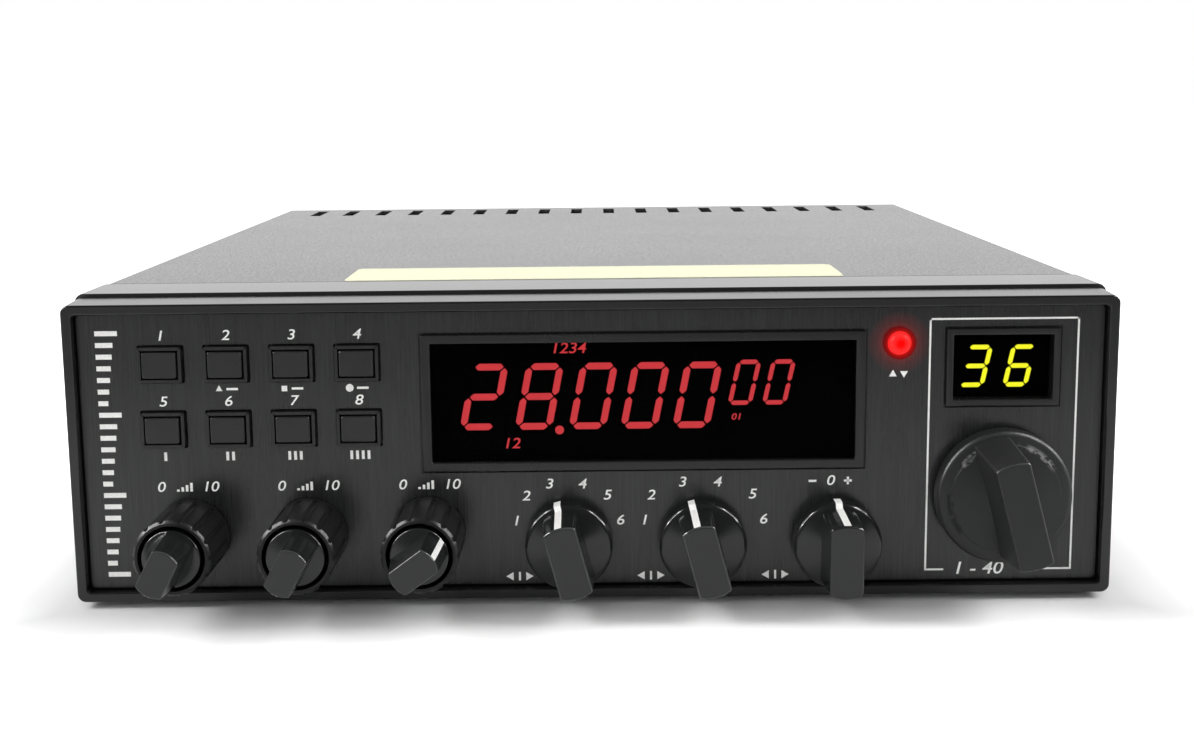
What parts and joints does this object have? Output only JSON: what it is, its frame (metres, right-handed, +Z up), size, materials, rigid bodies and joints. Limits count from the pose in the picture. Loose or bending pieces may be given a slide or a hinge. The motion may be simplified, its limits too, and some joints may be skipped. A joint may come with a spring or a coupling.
{
  "type": "amateur radio transceiver",
  "caption": "Mobile amateur radio transceiver: low steel case, recessed panel with display windows, push keys, bar-grip and ringed knobs, rear heat sink and antenna socket.",
  "frame": {"origin": "underside of the bottom cover, in the middle of the case's width and length", "axes": "+X to the right of someone facing the panel, +Y from the panel to the rear, +Z up"},
  "size_m": [0.2083, 0.2776, 0.0595],
  "materials": {
    "bezel_plastic": "satin black moulding",
    "panel_metal": "charcoal, brushed upright",
    "frame_paint": "smooth satin black",
    "cover_paint": "fine-textured black paint",
    "chassis_metal": "cast",
    "rear_metal": "satin black",
    "sink_metal": "black anodised",
    "window": "smoked",
    "module": "matt black",
    "lamp": "clear red",
    "switch": "moulded",
    "board": "solder mask",
    "component": "tinned cans",
    "basket": "satin",
    "cone": "pressed paper",
    "plating": "nickel",
    "socket_plastic": "moulded",
    "control_metal": "stamped",
    "shaft_metal": "turned",
    "plunger_plastic": "moulded",
    "black_screw": "black oxide",
    "knob_plastic": "satin black with a white pointer",
    "ring_plastic": "satin black, fluted",
    "key_plastic": "satin black"
  },
  "bodies": {
    "radio": {"front_bezel": "bezel_plastic", "front_panel": "panel_metal", "front_frame": "frame_paint", "top_cover": "cover_paint", "bottom_cover": "cover_paint", "chassis": "chassis_metal", "rear_panel": "rear_metal", "heat_sink": "sink_metal", "display_frame": "bezel_plastic", "display_window": "window", "display_module": "module", "channel_frame": "bezel_plastic", "channel_window": "window", "channel_module": "module", "status_lamp": "lamp", "lamp_holder": "bezel_plastic", "key_switches": "switch", "front_board": "board", "main_board": "board", "board_components": "component", "power_transistors": "switch", "speaker_basket": "basket", "speaker_cone": "cone", "antenna_socket": "plating", "power_socket": "socket_plastic", "jack_sockets": "socket_plastic", "mic_socket": "plating", "dual_controls": "control_metal", "selector_switches": "control_metal", "clarifier_control": "control_metal", "control_nuts": "plating", "mount_inserts": "plating", "cover_screws": "black_screw", "machine_screws": "plating"},
    "volume_ring": {"volume_ring": "ring_plastic"},
    "volume_knob": {"volume_knob": "knob_plastic", "volume_shaft": "shaft_metal"},
    "tone_ring": {"tone_ring": "ring_plastic"},
    "tone_knob": {"tone_knob": "knob_plastic", "tone_shaft": "shaft_metal"},
    "gain_ring": {"gain_ring": "ring_plastic"},
    "gain_knob": {"gain_knob": "knob_plastic", "gain_shaft": "shaft_metal"},
    "band_knob": {"band_knob": "knob_plastic", "band_shaft": "shaft_metal"},
    "mode_knob": {"mode_knob": "knob_plastic", "mode_shaft": "shaft_metal"},
    "clarifier_plunger": {"clarifier_plunger": "plunger_plastic"},
    "clarifier_knob": {"clarifier_knob": "knob_plastic", "clarifier_shaft": "shaft_metal"},
    "channel_knob": {"channel_knob": "knob_plastic", "channel_shaft": "shaft_metal"},
    "key_1": {"key_1": "key_plastic"},
    "key_2": {"key_2": "key_plastic"},
    "key_3": {"key_3": "key_plastic"},
    "key_4": {"key_4": "key_plastic"},
    "key_5": {"key_5": "key_plastic"},
    "key_6": {"key_6": "key_plastic"},
    "key_7": {"key_7": "key_plastic"},
    "key_8": {"key_8": "key_plastic"}
  },
  "joints": [
    {"name": "volume_ring_turn", "type": "hinge", "parent": "radio", "child": "volume_ring", "pos_m": [-0.0773, -0.11685, 0.01355], "axis": [0, 1, 0], "range_deg": [-150, 150]},
    {"name": "volume_turn", "type": "hinge", "parent": "radio", "child": "volume_knob", "pos_m": [-0.0773, -0.11685, 0.01355], "axis": [0, 1, 0], "range_deg": [0, 300]},
    {"name": "tone_ring_turn", "type": "hinge", "parent": "radio", "child": "tone_ring", "pos_m": [-0.05455, -0.11685, 0.01355], "axis": [0, 1, 0], "range_deg": [-150, 150]},
    {"name": "tone_turn", "type": "hinge", "parent": "radio", "child": "tone_knob", "pos_m": [-0.05455, -0.11685, 0.01355], "axis": [0, 1, 0], "range_deg": [0, 300]},
    {"name": "gain_ring_turn", "type": "hinge", "parent": "radio", "child": "gain_ring", "pos_m": [-0.0318, -0.11685, 0.01355], "axis": [0, 1, 0], "range_deg": [-150, 150]},
    {"name": "gain_turn", "type": "hinge", "parent": "radio", "child": "gain_knob", "pos_m": [-0.0318, -0.11685, 0.01355], "axis": [0, 1, 0], "range_deg": [-204, 96]},
    {"name": "band_turn", "type": "hinge", "parent": "radio", "child": "band_knob", "pos_m": [-0.0046, -0.11685, 0.01145], "axis": [0, 1, 0], "range_deg": [-60, 90]},
    {"name": "mode_turn", "type": "hinge", "parent": "radio", "child": "mode_knob", "pos_m": [0.0211, -0.11685, 0.01145], "axis": [0, 1, 0], "range_deg": [-60, 90]},
    {"name": "clarifier_push", "type": "slide", "parent": "radio", "child": "clarifier_plunger", "axis": [0, 1, 0], "range_m": [0, 0.001], "stiffness_N_per_m": 2000, "springref_m": -0.0005},
    {"name": "clarifier_turn", "type": "hinge", "parent": "clarifier_plunger", "child": "clarifier_knob", "pos_m": [0.0468, -0.11685, 0.01145], "axis": [0, 1, 0], "range_deg": [-150, 150]},
    {"name": "channel_turn", "type": "hinge", "parent": "radio", "child": "channel_knob", "pos_m": [0.0785, -0.11685, 0.02035], "axis": [0, 1, 0], "continuous": true},
    {"name": "key_1_press", "type": "slide", "parent": "radio", "child": "key_1", "axis": [0, 1, 0], "range_m": [0, 0.0008], "stiffness_N_per_m": 1200, "springref_m": -0.0005},
    {"name": "key_2_press", "type": "slide", "parent": "radio", "child": "key_2", "axis": [0, 1, 0], "range_m": [0, 0.0008], "stiffness_N_per_m": 1200, "springref_m": -0.0005},
    {"name": "key_3_press", "type": "slide", "parent": "radio", "child": "key_3", "axis": [0, 1, 0], "range_m": [0, 0.0008], "stiffness_N_per_m": 1200, "springref_m": -0.0005},
    {"name": "key_4_press", "type": "slide", "parent": "radio", "child": "key_4", "axis": [0, 1, 0], "range_m": [0, 0.0008], "stiffness_N_per_m": 1200, "springref_m": -0.0005},
    {"name": "key_5_press", "type": "slide", "parent": "radio", "child": "key_5", "axis": [0, 1, 0], "range_m": [0, 0.0008], "stiffness_N_per_m": 1200, "springref_m": -0.0005},
    {"name": "key_6_press", "type": "slide", "parent": "radio", "child": "key_6", "axis": [0, 1, 0], "range_m": [0, 0.0008], "stiffness_N_per_m": 1200, "springref_m": -0.0005},
    {"name": "key_7_press", "type": "slide", "parent": "radio", "child": "key_7", "axis": [0, 1, 0], "range_m": [0, 0.0008], "stiffness_N_per_m": 1200, "springref_m": -0.0005},
    {"name": "key_8_press", "type": "slide", "parent": "radio", "child": "key_8", "axis": [0, 1, 0], "range_m": [0, 0.0008], "stiffness_N_per_m": 1200, "springref_m": -0.0005}
  ]
}
